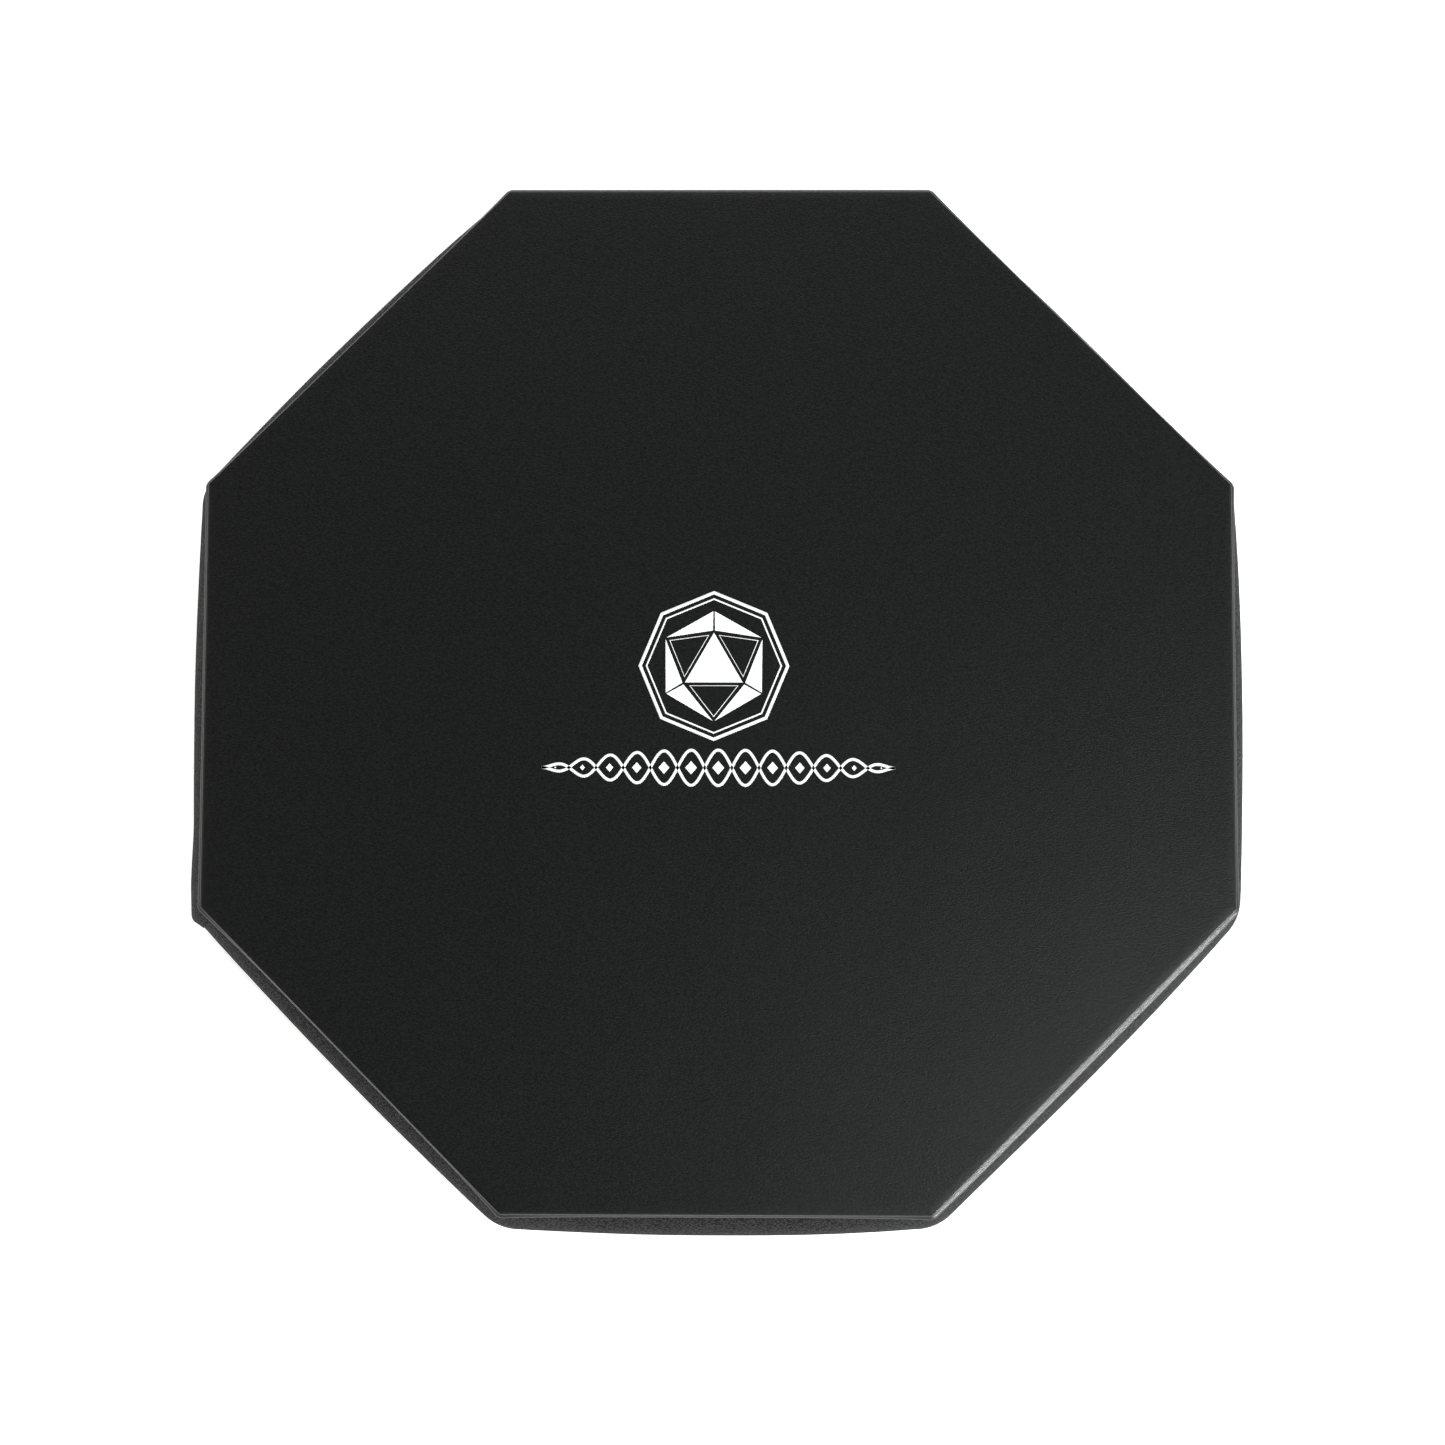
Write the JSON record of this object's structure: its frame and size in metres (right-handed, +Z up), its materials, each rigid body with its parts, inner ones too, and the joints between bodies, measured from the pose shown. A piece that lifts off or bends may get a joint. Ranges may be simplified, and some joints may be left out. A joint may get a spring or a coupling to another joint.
{
  "type": "octagonal game tray with lid",
  "caption": "Octagonal leatherette dice tray with padded walls, an inner ring of compartments round a rolling area, and a flat lift-off lid.",
  "frame": {"origin": "middle of the underside, on the table", "axes": "+Z up, +X to the right and -Y to the front as seen from above with the front side nearest; the octagon's flat sides face X, Y and the diagonals"},
  "size_m": [0.3158, 0.3156, 0.0443],
  "materials": {
    "smooth_leatherette": "matte, fine smooth grain",
    "pebbled_leatherette": "semi-matte, pebbled grain",
    "velvet": "short pile, matte",
    "foam": "matte foam",
    "fibreboard": "raw fibreboard",
    "grey_card": "raw grey card"
  },
  "bodies": {
    "tray": {"divider_cover": "smooth_leatherette", "wall_cover": "pebbled_leatherette", "wall_cover_lap": "pebbled_leatherette", "base_cover": "pebbled_leatherette", "wall_lining": "velvet", "rolling_mat": "velvet", "staging_mat_1": "velvet", "staging_mat_2": "velvet", "staging_mat_3": "velvet", "staging_mat_4": "velvet", "staging_mat_5": "velvet", "staging_mat_6": "velvet", "staging_mat_7": "velvet", "staging_mat_8": "velvet", "partition_1": "velvet", "partition_2": "velvet", "partition_3": "velvet", "partition_4": "velvet", "partition_5": "velvet", "partition_6": "velvet", "partition_7": "velvet", "partition_8": "velvet", "rolling_foam": "foam", "wall_padding_1": "foam", "wall_padding_2": "foam", "wall_padding_3": "foam", "wall_padding_4": "foam", "wall_padding_5": "foam", "wall_padding_6": "foam", "wall_padding_7": "foam", "wall_padding_8": "foam", "base_board": "fibreboard", "wall_board_1": "fibreboard", "wall_board_2": "fibreboard", "wall_board_3": "fibreboard", "wall_board_4": "fibreboard", "wall_board_5": "fibreboard", "wall_board_6": "fibreboard", "wall_board_7": "fibreboard", "wall_board_8": "fibreboard", "divider_board_1": "fibreboard", "divider_board_2": "fibreboard", "divider_board_3": "fibreboard", "divider_board_4": "fibreboard", "divider_board_5": "fibreboard", "divider_board_6": "fibreboard", "divider_board_7": "fibreboard", "divider_board_8": "fibreboard"},
    "lid": {"lid_cover": "smooth_leatherette", "lid_board": "grey_card", "lid_filler_card": "grey_card", "lid_pad": "foam", "lid_lining": "velvet"}
  },
  "joints": [
    {"name": "lid_lift", "type": "slide", "parent": "tray", "child": "lid", "axis": [0, 0, 1], "range_m": [0, 0.25]}
  ]
}
